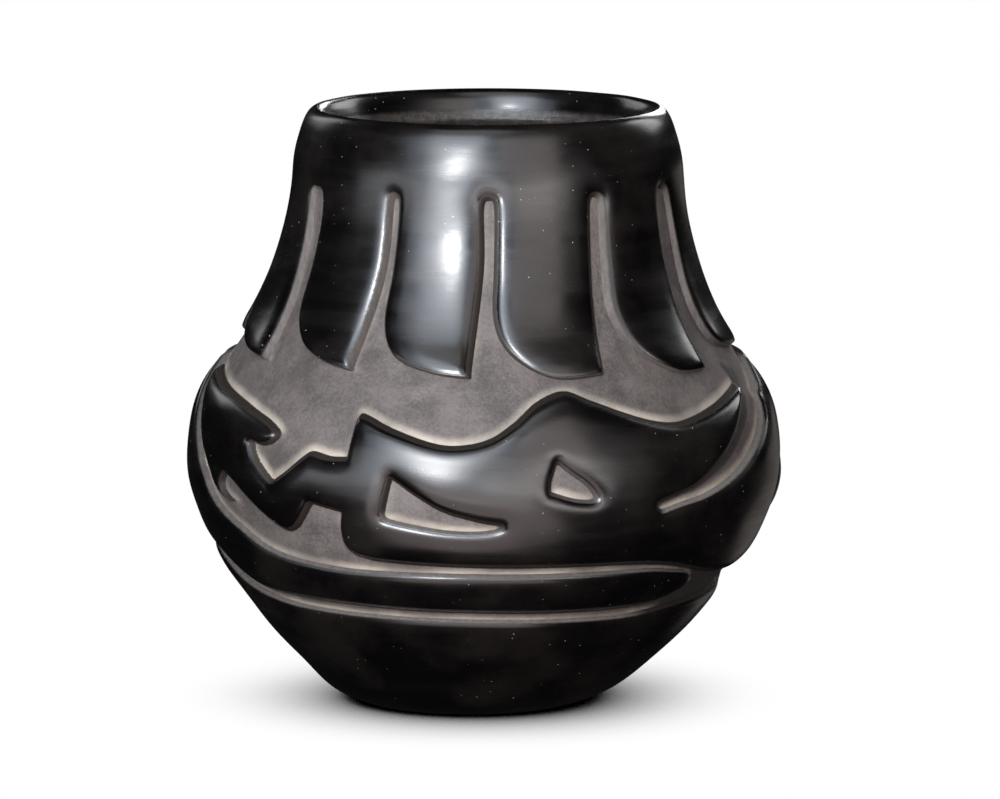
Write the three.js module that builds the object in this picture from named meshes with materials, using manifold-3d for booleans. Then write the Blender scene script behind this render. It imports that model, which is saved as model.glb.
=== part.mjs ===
// Blackware olla: a hand-coiled jar, stone-polished, and carved with a frieze of feathers over two
// horned water serpents.
// Millimetres, +Z up. The origin is the centre of the flat base. Angles are in degrees round the jar:
// 0 faces -Y, which is the front, and 90 faces +X.
// The wall is made as the potter makes it, from a base slab with nine coils laid one on another.
// The carving is cut through the whole wall before it is parted into its courses.
import * as THREE from 'three';
import { mergeVertices } from 'three/addons/utils/BufferGeometryUtils.js';
import Module from 'manifold-3d';

// Overall sizes
const height = 189.5;
const baseRadius = 35.5;
const bellyRadius = 95;
const bellyHeight = 79;
const neckRadius = 61.5;
const neckBelowCrest = 17.5;
const neckHeight = height - neckBelowCrest;
const wallThickness = 9;
const floorThickness = 9;

// Lip: the rolled edge above the neck, its crest, and how far its inner side drops to the mouth
const lipHeight = 11;
const lipFootInset = 1.3;
const lipCrestRadius = 53.8;
const mouthRadius = 50;
const lipInnerDrop = 4.5;

// The jar leans to +X, as hand-built ones do: the bowl soon after the base, and the neck once more.
const bowlLean = 4.3;
const bowlLeanHeight = 18;
const neckLean = 1.2;
const neckLeanLength = 62;
const neckLeanStart = neckHeight - neckLeanLength;

// Carving: depth below the polished skin, and the heights of the feather frieze
const carveDepth = 3.2;
const featherCarveDepth = 2.2;
const featherTopBelowNeck = 4;
const featherTop = neckHeight - featherTopBelowNeck;
const featherTipAboveBelly = 35;
const featherTip = bellyHeight + featherTipAboveBelly;
const featherSlope = 13;
const featherCornerHeight = featherTip + featherSlope;
const grooveHalfAngle = 2.9;
const grooveRoundHeight = 2.6;

// Base slab, then coils of equal height up to the lip
const slabHeight = 16;
const coilNames = [
  'bowl_coil_lower', 'bowl_coil_upper', 'belly_coil_lower', 'belly_coil_upper', 'shoulder_coil_lower',
  'shoulder_coil_upper', 'neck_coil_lower', 'neck_coil_upper', 'rim_coil',
];

// Facets
const skinSegments = 48;
const groundSegments = 40;
const cavitySegments = 24;
const skinRows = 20;
const cavityRows = 10;
const outlineFacets = 1.6;
const wrapStrips = 8;

// Fired blackware: stone-polished slip on every course
const slipColor = 0x0f0f12;
const slipRoughness = 0.22;

// Shape of the polished profile, as shares of the way from one named size to the next: [out, up]
const bowlShares = [[0.15, 0.045], [0.345, 0.17], [0.535, 0.315], [0.74, 0.515], [0.9, 0.705], [0.985, 0.89]];
const shoulderShares = [
  [0.055, 0.148], [0.2, 0.268], [0.4, 0.375], [0.59, 0.48], [0.755, 0.61], [0.875, 0.74], [0.955, 0.87],
];
const lipShares = [[0.13, 0.38], [0.38, 0.72], [0.68, 0.92]];

// Middles of the grooves between the feathers, spaced by eye as the potter spaced them
const grooveAngles = [-57.6, -28.6, 0.3, 32.4, 63, 93, 123, 152.5, 182, 212, 242.5, 272.3];

// Serpent outlines are strokes of [angle, height above the belly line], with a corner where two meet.
const serpentStrokes = [
  // horn, and the hook at its end
  [
    [-75.6, 30.4], [-68.5, 27.5], [-58.6, 24.8], [-50.6, 21.3], [-45, 18.3], [-43.8, 15.6], [-46, 12],
    [-51, 11.6],
  ],
  // nape
  [[-51, 11.6], [-49.8, 8], [-44, 1.8]],
  // back with its two humps, as far as its pointed end
  [[-44, 1.8], [-39.3, 6.1], [-36, 11.2], [-30.3, 11], [-26.6, 10.6]],
  [
    [-26.6, 10.6], [-26.2, 17], [-25.2, 23.6], [-20, 21.3], [-12, 16], [-4.3, 14], [3, 17.8], [9.5, 25.6],
    [18.6, 30.6], [27, 26], [34.9, 20.7], [41.5, 19.3], [50, 21.8], [58, 25.4], [66.4, 27.4],
  ],
  // blind groove that cuts in from the right
  [
    [66.4, 27.4], [61.5, 18], [55.5, 9.3], [48.4, 3.4], [40.3, -0.4], [35.2, -2.4], [35.5, -7], [43, -6],
    [51.4, -3.4], [60, 1.5], [67.4, 8.4], [74, 17], [78.8, 24.5], [82.5, 31],
  ],
  // coil that passes round the side, its rounded end and the belly
  [
    [82.5, 31], [86.4, 31], [88.2, 24], [86, 5], [84, -6], [84.2, -14], [87.4, -20], [88.4, -27], [82, -32.2],
    [66, -32.2], [53.1, -30.2], [42, -25.5], [30, -23.8], [5, -22.6], [-20, -22.2],
  ],
  // throat
  [[-20, -22.2], [-26.3, -20], [-28.2, -15], [-27.6, -6.6]],
  [[-27.6, -6.6], [-33.7, -4.6]],
  [[-33.7, -4.6], [-37, -11.6], [-40.4, -14.5], [-44.5, -11.3], [-50, -6.2], [-58.2, 0.4]],
  // open mouth and jaw
  [[-58.2, 0.4], [-55.1, -8.8]],
  [[-55.1, -8.8], [-62.2, -6.8], [-68.7, 3.3], [-74.5, 14.5], [-80.6, 25], [-75.6, 30.4]],
];
const ribStrokes = [
  [[-18, 6.1], [-20.4, -7.4]],
  [[-20.4, -7.4], [-14, -10.8], [0.5, -12.5], [3.8, -10], [-2, -6.2], [-9.8, -0.8], [-18, 6.1]],
];
const eyeStrokes = [
  [[13.5, 10.3], [12, 4.6], [13, 0.7], [20.5, -3], [21.8, -0.6], [17.6, 5], [13.5, 10.3]],
];
const tailStrokes = [
  [
    [55.9, -34.4], [52.5, -31.6], [42, -28], [24.9, -26.2], [0, -27.1], [-23.4, -26.8], [-40, -23.5],
    [-53.7, -20.1], [-62.3, -13.8], [-68.4, -3.6], [-73, 6], [-79, 16], [-83, 26], [-87.5, 33],
  ],
  [
    [-87.5, 33], [-91.5, 29], [-95.5, 15], [-96.5, 5], [-98.5, -5], [-98, -13], [-93.5, -19.5], [-84, -22.6],
    [-72, -24.8], [-63.6, -29.6], [-53.8, -33.9], [-38, -35.3], [0, -35.7], [40, -36.6], [52, -36.9],
    [55.9, -34.4],
  ],
];

// Top edge of the plain polished bowl, all the way round, also from the belly line
const bowlEdge = [
  [-180, -41.5], [-150, -42.2], [-135, -41.6], [-122, -37.8], [-108, -37], [-99, -34], [-90, -24.5],
  [-80, -27], [-69, -33.6], [-56.5, -37.6], [-43.2, -39.5], [-20, -40.4], [2.3, -41.8], [20, -41.3],
  [46.7, -42.2], [56, -42], [66, -38.2], [80, -37.2], [92, -35.5], [101, -26.5], [110, -28.8],
  [119, -35], [132, -38.6], [155, -40.2], [180, -41.5],
];

// The second serpent is the same figure on the back of the jar, laid out a little shorter.
const backFigureAngle = 179.25;
const backFigureScale = 0.93;

const fullTurn = 360;
const fieldInnerRadius = 25;
const clearOfClay = 40;

const wasm = await Module();
wasm.setup();

function solidOf(geometry) {
  const bare = geometry.clone();
  bare.deleteAttribute('normal');
  bare.deleteAttribute('uv');
  const merged = mergeVertices(bare, 1e-5);
  return new wasm.Manifold(new wasm.Mesh({
    numProp: 3,
    vertProperties: new Float32Array(merged.attributes.position.array),
    triVerts: new Uint32Array(merged.index.array),
  }));
}

function geometryOf(solid) {
  const mesh = solid.getMesh();
  const geometry = new THREE.BufferGeometry();
  geometry.setAttribute('position', new THREE.BufferAttribute(new Float32Array(mesh.vertProperties), 3));
  geometry.setIndex(new THREE.BufferAttribute(new Uint32Array(mesh.triVerts), 1));
  return geometry;
}

function unionOf(solids) {
  return solids.reduce((whole, solid) => whole.add(solid));
}

// Moves every vertex of a geometry by place(point)
function reshape(geometry, place) {
  const positions = geometry.attributes.position;
  const point = new THREE.Vector3();
  for (let index = 0; index < positions.count; index += 1) {
    point.fromBufferAttribute(positions, index);
    place(point);
    positions.setXYZ(index, point.x, point.y, point.z);
  }
  return geometry;
}

// A solid turned round Z from Vector2(radius, height) points that start and end on the axis
function turned(points, segments) {
  return solidOf(new THREE.LatheGeometry(points, segments).rotateX(Math.PI / 2));
}

// Points on the way from one named point of the profile to the next
function stretch(from, to, shares) {
  return shares.map(([out, up]) => new THREE.Vector2(
    THREE.MathUtils.lerp(from.x, to.x, out),
    THREE.MathUtils.lerp(from.y, to.y, up),
  ));
}

// The polished profile from the edge of the base to the crest of the lip
function skinProfile() {
  const base = new THREE.Vector2(baseRadius, 0);
  const belly = new THREE.Vector2(bellyRadius, bellyHeight);
  const neck = new THREE.Vector2(neckRadius, neckHeight);
  const lipFoot = new THREE.Vector2(neckRadius - lipFootInset, height - lipHeight);
  const crest = new THREE.Vector2(lipCrestRadius, height);
  return new THREE.SplineCurve([
    base, ...stretch(base, belly, bowlShares),
    belly, ...stretch(belly, neck, shoulderShares),
    neck, lipFoot, ...stretch(lipFoot, crest, lipShares),
    crest,
  ]);
}

// The profile set in from the skin by inset(height), measured square to the skin
function insetProfile(curve, rows, inset) {
  const points = [];
  for (let row = 0; row <= rows; row += 1) {
    const point = curve.getPoint(row / rows);
    const along = curve.getTangent(row / rows);
    const depth = inset(point.y);
    points.push(new THREE.Vector2(point.x - along.y * depth, point.y + along.x * depth));
  }
  return points;
}

const skin = skinProfile();

// The whole jar with its polished skin, before the carving and the hollow
function skinSolid() {
  const crest = new THREE.Vector2(lipCrestRadius, height);
  const mouth = new THREE.Vector2(mouthRadius - 1, height - lipInnerDrop);
  return turned([
    new THREE.Vector2(0, 0), ...skin.getPoints(skinRows),
    ...stretch(crest, mouth, [[0.6, 0.25]]), mouth,
    new THREE.Vector2(0, height - lipInnerDrop),
  ], skinSegments);
}

// The matte ground that the carving is cut down to, shallower between the feathers
function groundSolid() {
  const depthAt = (z) => THREE.MathUtils.mapLinear(
    THREE.MathUtils.clamp(z, featherTip, featherTop),
    featherTip, featherTop, carveDepth, featherCarveDepth,
  );
  const wall = insetProfile(skin, skinRows, depthAt).filter((point) => point.y < height - lipHeight);
  return turned([
    new THREE.Vector2(0, wall[0].y), ...wall, new THREE.Vector2(0, wall.at(-1).y),
  ], groundSegments);
}

// The hollow: the skin set in by the wall, a flat floor and a mouth that runs out at the top
function cavitySolid() {
  const wall = insetProfile(skin, cavityRows, () => wallThickness)
    .filter((point) => point.y > floorThickness + 2 && point.y < height - lipHeight);
  return turned([
    new THREE.Vector2(0, floorThickness), new THREE.Vector2(wall[0].x - 3, floorThickness), ...wall,
    new THREE.Vector2(mouthRadius, height - lipInnerDrop),
    new THREE.Vector2(mouthRadius, height + clearOfClay),
    new THREE.Vector2(0, height + clearOfClay),
  ], cavitySegments);
}

// An outline unrolled flat: X is the angle, Y the height. Strokes are splines that meet at corners,
// with so many facets for each stretch between two points.
function outlineOf(strokes) {
  return new THREE.Shape(strokes.flatMap((stroke) => {
    const curve = new THREE.SplineCurve(stroke.map(([angle, z]) => new THREE.Vector2(angle, z)));
    const facets = stroke.length > 2 ? Math.round(outlineFacets * (stroke.length - 1)) : 1;
    return curve.getPoints(facets).slice(0, -1);
  }));
}

function flatSolid(shape) {
  return solidOf(new THREE.ExtrudeGeometry(shape, { depth: 1, bevelEnabled: false }));
}

// A figure in strokes from the belly line, on the front or, laid out shorter, on the back
function figure(strokes, onBack = false) {
  const place = ([angle, rise]) => [
    onBack ? backFigureAngle + backFigureScale * angle : angle,
    bellyHeight + rise,
  ];
  return flatSolid(outlineOf(strokes.map((stroke) => stroke.map(place))));
}

// The same flat solid one turn back and one on, so that it reaches over both ends of the unrolled jar
function allTurns(flat) {
  return unionOf([-fullTurn, 0, fullTurn].map((angle) => flat.translate([angle, 0, 0])));
}

// One feather between the grooves at two angles: a soft corner at its lower left, a point at its right
function feather(left, right) {
  const leftEdge = left + grooveHalfAngle;
  const rightEdge = right - grooveHalfAngle;
  const slope = (share) => THREE.MathUtils.lerp(featherCornerHeight, featherTip, share);
  const across = (share) => THREE.MathUtils.lerp(leftEdge, rightEdge, share);
  const start = [left - 0.4, featherTop + 1];
  const end = [right + 0.4, featherTop + 1];
  const point = [across(0.985), slope(0.95)];
  return flatSolid(outlineOf([
    [
      start, [left + grooveHalfAngle * 0.6, featherTop - 0.4], [leftEdge, featherTop - grooveRoundHeight],
      [across(0.02), slope(-1.6)], [across(0.03), slope(-0.2)], [across(0.13), slope(0.36)],
      [across(0.4), slope(0.74)], [across(0.85), slope(1.03)], point,
    ],
    [
      point, [across(0.93), slope(0.4)], [across(0.94), slope(-1.2)],
      [rightEdge, featherTop - grooveRoundHeight], [right - grooveHalfAngle * 0.6, featherTop - 0.4], end,
    ],
    [end, start],
  ]));
}

// The ground between the figures, unrolled: everything from the bowl's edge up to the groove tops
// that no feather, serpent or tail covers
function flatGround() {
  const edge = bowlEdge.map(([angle, rise]) => [angle, bellyHeight + rise]);
  const zone = flatSolid(outlineOf([
    edge,
    [edge.at(-1), [fullTurn / 2, featherTop]],
    [[fullTurn / 2, featherTop], [-fullTurn / 2, featherTop]],
    [[-fullTurn / 2, featherTop], edge[0]],
  ]));
  const feathers = grooveAngles.map((angle, index) => (
    feather(angle, grooveAngles[index + 1] ?? grooveAngles[0] + fullTurn)
  ));
  const serpents = [false, true].flatMap((onBack) => [
    figure(serpentStrokes, onBack).subtract(figure(ribStrokes, onBack)).subtract(figure(eyeStrokes, onBack)),
    figure(tailStrokes, onBack),
  ]);
  return zone.subtract(allTurns(unionOf([...feathers, ...serpents])));
}

// Wraps the flat ground round the jar, strip by strip, as radial walls that run out past the skin
function fieldSolid() {
  const flat = flatGround();
  const stripAngle = fullTurn / wrapStrips;
  const outer = bellyRadius + clearOfClay;
  const strips = Array.from({ length: wrapStrips }, (_, index) => {
    const middle = -fullTurn / 2 + (index + 0.5) * stripAngle;
    const box = new THREE.BoxGeometry(stripAngle, 2 * height, 4).translate(middle, height / 2, 0);
    const strip = geometryOf(flat.intersect(solidOf(box)));
    return solidOf(reshape(strip, (point) => {
      const angle = THREE.MathUtils.degToRad(THREE.MathUtils.euclideanModulo(point.x, fullTurn));
      const radius = point.z > 0.5 ? outer : fieldInnerRadius;
      point.set(radius * Math.sin(angle), -radius * Math.cos(angle), point.y);
    }));
  });
  return unionOf(strips);
}

// How far the wall has leaned to +X at a height
function leanAt(z) {
  const bowl = bowlLean * (1 - Math.exp(-Math.max(z, 0) / bowlLeanHeight));
  return bowl + neckLean * THREE.MathUtils.smoothstep(z, neckLeanStart, neckHeight);
}

// The slice of a solid between two heights
function courseOf(solid, bottom, top) {
  const reach = 2 * (bellyRadius + clearOfClay);
  const slice = new THREE.BoxGeometry(reach, reach, top - bottom).translate(0, 0, (bottom + top) / 2);
  return reshape(geometryOf(solid.intersect(solidOf(slice))), (point) => {
    point.x += leanAt(point.z);
  });
}

function clayMesh(name, geometry) {
  const slip = new THREE.MeshStandardMaterial({ color: slipColor, roughness: slipRoughness, metalness: 0 });
  const mesh = new THREE.Mesh(geometry, slip);
  mesh.name = name;
  return mesh;
}

const carving = fieldSolid().subtract(groundSolid());
const jar = skinSolid().subtract(carving).subtract(cavitySolid());

const olla = new THREE.Group();
olla.add(clayMesh('base_slab', courseOf(jar, -clearOfClay, slabHeight)));
const coilHeight = (height - slabHeight) / coilNames.length;
coilNames.forEach((name, index) => {
  const bottom = slabHeight + index * coilHeight;
  const isRim = index === coilNames.length - 1;
  const top = isRim ? height + clearOfClay : bottom + coilHeight;
  olla.add(clayMesh(name, courseOf(jar, bottom, top)));
});

export default olla;
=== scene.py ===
"""Blackware olla: a hand-coiled, stone-polished and carved jar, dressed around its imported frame.

Each coil of the jar's wall is turned on the wheel as a ring, subdivided, and then carved: every point of
the ring is moved to its place on the carved surface. The carving is a frieze of feathers over two horned
water serpents. Sizes are in millimetres until a mesh gets its points, and angles in degrees round the
jar: 0 faces the front, -Y, and 90 faces +X.
"""

from __future__ import annotations

import logging
import math
from dataclasses import dataclass, field
from enum import Enum

import bmesh
import bpy
import numpy as np
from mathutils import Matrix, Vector, kdtree

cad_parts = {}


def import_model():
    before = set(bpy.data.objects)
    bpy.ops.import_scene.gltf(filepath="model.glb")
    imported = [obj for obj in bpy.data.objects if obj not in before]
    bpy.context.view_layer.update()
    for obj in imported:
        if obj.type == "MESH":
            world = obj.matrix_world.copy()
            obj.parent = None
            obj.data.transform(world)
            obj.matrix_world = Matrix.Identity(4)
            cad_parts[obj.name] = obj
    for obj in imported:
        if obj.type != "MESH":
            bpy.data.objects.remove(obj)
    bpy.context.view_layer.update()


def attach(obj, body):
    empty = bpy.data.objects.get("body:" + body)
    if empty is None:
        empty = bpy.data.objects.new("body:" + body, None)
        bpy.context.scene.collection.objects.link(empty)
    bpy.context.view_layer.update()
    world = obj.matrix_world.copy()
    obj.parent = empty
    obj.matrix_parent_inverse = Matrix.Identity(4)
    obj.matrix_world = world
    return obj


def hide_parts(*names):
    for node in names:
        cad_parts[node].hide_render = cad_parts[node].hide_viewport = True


LOG = logging.getLogger("olla")
MM = 0.001
FULL_TURN = 360.0
MEAN_RADIUS = 80.0
NOISE_SPAN = (0.3, 0.7)
BODY = "root"

Point = tuple[float, float]
Stroke = tuple[Point, ...]
Triple = tuple[float, float, float]
Colour = tuple[float, float, float, float]
Socket = bpy.types.NodeSocket


class Part(Enum):
    """Where a row of the jar's surface lies."""

    UNDER = 0
    OUTSIDE = 1
    LIP = 2
    INSIDE = 3


class Place(Enum):
    """The two places of the serpent figure: on the front, or laid out a little shorter on the back."""

    FRONT = (-0.3, 1.0)
    BACK = (180.0, 0.888)

    def moved(self, stroke: np.ndarray, base: float) -> np.ndarray:
        """A stroke of the figure in this place on the jar.

        Args:
            stroke: rows of angle, height above the belly line, shoulder and bareness.
            base: height of the belly line.

        Returns:
            The rows, with their angles and heights on the jar.
        """
        middle, scale = self.value
        placed = stroke.copy()
        placed[:, 0] = middle + scale * placed[:, 0]
        placed[:, 1] += base
        return placed


def spline_through(points: Stroke | np.ndarray, per_span: int) -> np.ndarray:
    """A smooth curve through points, both ends included, with so many steps between two of them."""
    given = np.asarray(points, float)
    padded = np.vstack([given[:1], given, given[-1:]])
    t = np.linspace(0.0, 1.0, per_span, endpoint=False)[:, None]
    spans = []
    for i in range(len(given) - 1):
        before, here, after, beyond = padded[i : i + 4]
        leave = (after - before) / 2
        arrive = (beyond - here) / 2
        cubic = (2 * here - 2 * after + leave + arrive) * t**3
        square = (-3 * here + 3 * after - 2 * leave - arrive) * t**2
        spans.append(cubic + square + leave * t + here)
    return np.vstack([*spans, given[-1:]])


def smooth_curve(points: Stroke, per_span: int) -> np.ndarray:
    """The smoothest curve through points.

    Its bend changes evenly, so that clay turned to it mirrors a lamp without ripples.

    Args:
        points: the points that it goes through.
        per_span: how many steps it has between two of them.

    Returns:
        The curve's points, one a row.
    """
    given = np.asarray(points, float)
    run = np.concatenate([[0.0], np.cumsum(np.linalg.norm(np.diff(given, axis=0), axis=1))])
    gap = np.diff(run)
    count = len(given)
    system = np.eye(count)
    wanted = np.zeros_like(given)
    for i in range(1, count - 1):
        system[i, i - 1 : i + 2] = gap[i - 1], 2 * (gap[i - 1] + gap[i]), gap[i]
        wanted[i] = 6 * ((given[i + 1] - given[i]) / gap[i] - (given[i] - given[i - 1]) / gap[i - 1])
    bend = np.linalg.solve(system, wanted)
    spans = []
    for i in range(count - 1):
        t = np.linspace(0.0, gap[i], per_span, endpoint=False)[:, None]
        slope = (given[i + 1] - given[i]) / gap[i] - gap[i] * (2 * bend[i] + bend[i + 1]) / 6
        change = (bend[i + 1] - bend[i]) / (6 * gap[i])
        spans.append(given[i] + slope * t + bend[i] / 2 * t**2 + change * t**3)
    return np.vstack([*spans, given[-1:]])


def smooth_step(value: np.ndarray, low: float, high: float) -> np.ndarray:
    """Goes smoothly from 0 at low to 1 at high."""
    share = np.clip((value - low) / (high - low), 0.0, 1.0)
    return share * share * (3.0 - 2.0 * share)


def added(name: str, data: bpy.types.ID) -> bpy.types.Object:
    """A new object in the scene."""
    item = bpy.data.objects.new(name, data)
    bpy.context.scene.collection.objects.link(item)
    return item


def meshed(name: str, bm: bmesh.types.BMesh) -> bpy.types.Mesh:
    """A mesh from a finished bmesh."""
    data = bpy.data.meshes.new(name)
    bm.to_mesh(data)
    bm.free()
    return data


@dataclass(frozen=True)
class JarProfile:
    """The jar's profile in millimetres: its polished skin, its lip and its hollow."""

    height: float = 189.9
    wall: float = 9.0
    floor: float = 9.0
    bowl: Stroke = (
        (35.5, 0), (44.6, 3.6), (56.2, 13.3), (67.1, 24.2), (77.3, 37.2), (86.2, 49.5), (92.1, 62.2),
        (94.8, 72),
    )
    shoulder: Stroke = (
        (95.1, 79), (94.4, 86.5), (92.9, 94), (90.1, 101.2), (86.2, 107.8), (80.6, 116.2), (76, 123.3),
        (71.7, 132), (68, 141.8), (65.4, 151), (63.4, 161), (62.4, 169),
    )
    lip: Stroke = (
        (61.7, 174.5), (60.85, 178.5), (59.9, 181.8), (58.9, 184.8), (57.8, 187.2), (56.5, 188.9),
    )
    crest_radius: float = 54.7
    inner_lip: Stroke = (
        (53, 189.2), (51.9, 187.5), (51.15, 185.5), (50.6, 183.6), (50.1, 181.5), (49.9, 179),
    )
    leans: Stroke = (
        (0, 0), (8, 1.5), (18, 2.6), (30, 3.2), (42, 3.6), (56, 4.5), (70, 4.85), (84, 4.6), (100, 4.4),
        (125, 4.6), (150, 5.25), (172, 5.65), (190, 5.65),
    )
    inner_foot: Stroke = ((-5, 1.6), (-12, 0))
    foot_height: float = 6.0
    skin_steps: int = 40
    hollow_steps: int = 24
    lean_steps: int = 20

    def skin(self) -> np.ndarray:
        """The polished profile from the edge of the base to the crest of the lip."""
        crest = (self.crest_radius, self.height)
        return smooth_curve((*self.bowl, *self.shoulder, *self.lip, crest), self.skin_steps)

    def hollow(self) -> np.ndarray:
        """The inner profile from the crest over the lip, down the wall and across the floor to the axis."""
        skin = self.skin()
        along = np.gradient(skin, axis=0)
        along /= np.linalg.norm(along, axis=1)[:, None]
        inner = np.column_stack([
            skin[:, 0] - along[:, 1] * self.wall,
            skin[:, 1] + along[:, 0] * self.wall,
        ])
        keep = (inner[:, 1] > self.floor + self.foot_height) & (skin[:, 1] < self.shoulder[-1][1])
        wall = inner[keep][::-1][:: self.skin_steps]
        foot = [(wall[-1, 0] + inward, self.floor + up) for inward, up in self.inner_foot]
        crest = (self.crest_radius, self.height)
        curve = spline_through(np.array([crest, *self.inner_lip, *wall, *foot]), self.hollow_steps)
        return np.vstack([curve, [[0.0, self.floor]]])

    def lean(self, z: np.ndarray) -> np.ndarray:
        """How far the wall has leaned to +X at a height, as hand-built ones do."""
        leans = smooth_curve(self.leans, self.lean_steps)
        return np.interp(z, leans[:, 0], leans[:, 1])


@dataclass(frozen=True)
class Cut:
    """A cut of the knife between polished clay and ground.

    Its points lie at the foot of the cut. The shoulder says how widely the polished edge rounds over it, in
    millimetres. The last field says how light the wall is drawn, from 0, still coated with slip, to 1:
    partly how clean the wall is scraped, partly painted light and shade by whether the wall faces the key
    lamp. Below 0 it paints shade on the ground beside the cut.
    """

    points: Stroke
    shoulder: float = 1.3
    bareness_and_light: float = 0.0

    def laid(self) -> np.ndarray:
        """The cut's points as rows of angle, height, shoulder and bareness."""
        return np.array([(angle, level, self.shoulder, self.bareness_and_light) for angle, level in self.points])


@dataclass(frozen=True)
class Feather:
    """One feather of the frieze, by three strokes of its outline at the foot of the carving.

    The left side goes down from the groove, the hem on from the knee to the tip, and the right side back up.
    """

    left: Stroke
    hem: Stroke
    right: Stroke
    # How light each wall is drawn: partly scraped clay, partly painted light on walls that face the key lamp
    # and painted shade on walls and hems that face away.
    left_bareness_and_light: float = 0.25
    right_bareness_and_light: float = 0.05
    hem_bareness_and_light: float = 0.5
    tip_least: float = 0.4
    tip_share: float = 0.7
    left_shoulder: float = 1.3
    right_shoulder: float = 1.9
    hem_shoulder: float = 1.3

    @classmethod
    def between(cls, left: float, right: float, gap: float = 1.6) -> Feather:
        """A feather as the potter repeats it, a gap away from the grooves at two angles."""
        width = right - left - 2 * gap

        def at(share: float, height: float) -> Point:
            return (left + gap + share * width, height)

        return cls(
            (at(0.0, 164.8), at(0.01, 147.0), at(0.01, 131.0)),
            (at(0.18, 120.4), at(0.55, 115.0), at(0.99, 113.2)),
            (at(0.98, 119.5), at(0.99, 146.0), at(1.0, 164.8)),
        )

    def right_edge(self, turn: float) -> list[tuple[float, ...]]:
        """Its edge from the tip up to the groove, turned round the jar, as rows that a cut is laid with."""
        tip, height = self.hem[-1]
        tip_shoulder = self.tip_least + self.tip_share * self.right_shoulder
        rows = [(tip + turn, height, tip_shoulder, self.right_bareness_and_light)]
        rows += [(angle + turn, level, self.right_shoulder, self.right_bareness_and_light) for angle, level in self.right]
        return rows

    def left_edge(self) -> list[tuple[float, ...]]:
        """Its edge from the groove down to the tip, as rows that a cut is laid with."""
        rows = [(*point, self.left_shoulder, self.left_bareness_and_light) for point in self.left]
        return rows + [(*point, self.hem_shoulder, self.left_bareness_and_light * self.hem_bareness_and_light) for point in self.hem]


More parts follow.
